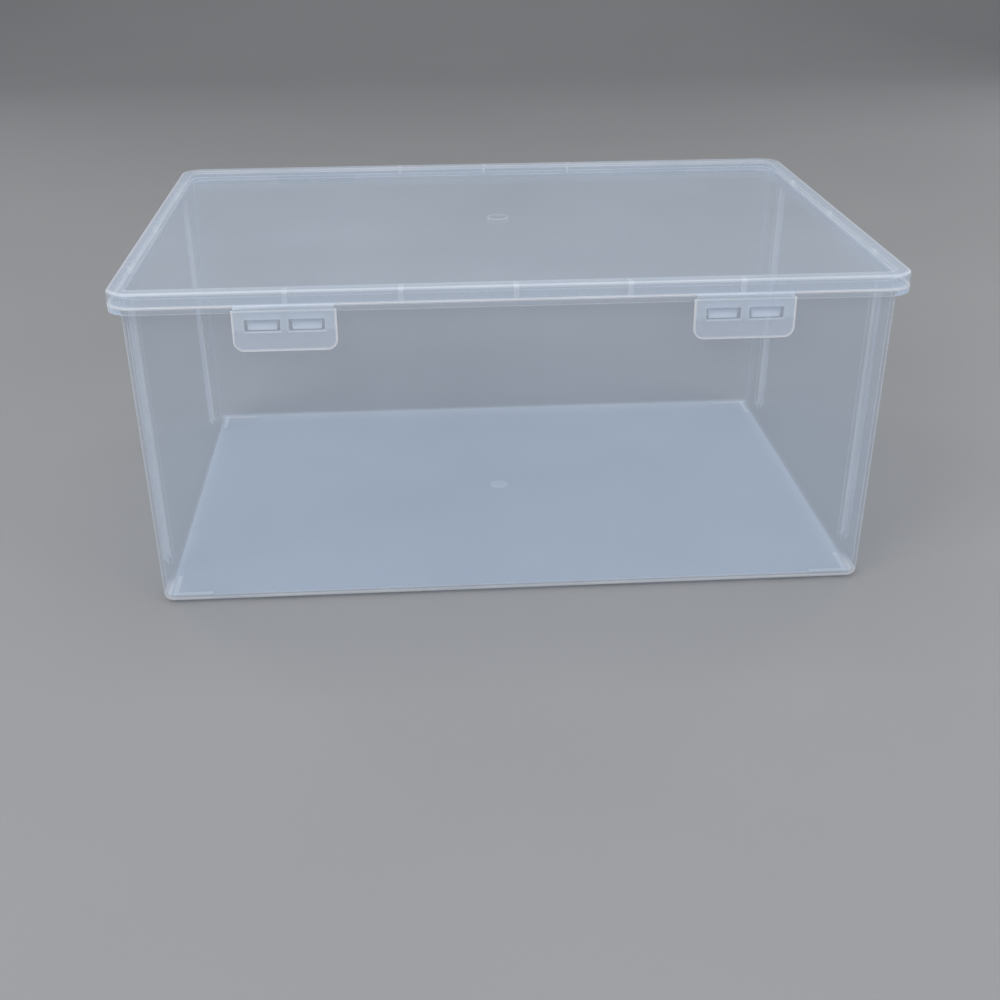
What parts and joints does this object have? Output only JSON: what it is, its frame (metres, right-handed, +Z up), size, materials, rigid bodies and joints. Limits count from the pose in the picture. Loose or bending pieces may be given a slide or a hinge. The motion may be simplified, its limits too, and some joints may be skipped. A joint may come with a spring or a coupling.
{
  "type": "lidded storage box",
  "caption": "Translucent rectangular plastic storage box with a hinged lift-up lid, a sunk stacking panel and windowed snap latches that close over catch lugs.",
  "frame": {"origin": "centre of the footprint, on the plane that the four corner feet stand on", "axes": "+X to the right along the long front, +Y from the latch side to the hinge side, +Z up"},
  "size_m": [0.33, 0.2414, 0.145],
  "materials": {
    "natural_pp": "glossy, milky translucent natural polypropylene"
  },
  "bodies": {
    "tub": {"tub": "natural_pp", "hinge_strap_left": "natural_pp", "hinge_strap_right": "natural_pp"},
    "lid": {"lid": "natural_pp", "latch_film_left": "natural_pp", "latch_film_right": "natural_pp"},
    "latch_left": {"latch_left": "natural_pp"},
    "latch_right": {"latch_right": "natural_pp"}
  },
  "joints": [
    {"name": "lid_hinge", "type": "hinge", "parent": "tub", "child": "lid", "pos_m": [0, 0.12045, 0.1387], "axis": [-1, 0, 0], "range_deg": [0, 180], "deforming": ["hinge_strap_left", "hinge_strap_right"]},
    {"name": "latch_left_hinge", "type": "hinge", "parent": "lid", "child": "latch_left", "pos_m": [-0.0935, -0.11988, 0.13888], "axis": [-1, 0, 0], "range_deg": [-8, 120], "deforming": ["latch_film_left"]},
    {"name": "latch_right_hinge", "type": "hinge", "parent": "lid", "child": "latch_right", "pos_m": [0.0935, -0.11988, 0.13888], "axis": [-1, 0, 0], "range_deg": [-8, 120], "deforming": ["latch_film_right"]}
  ]
}
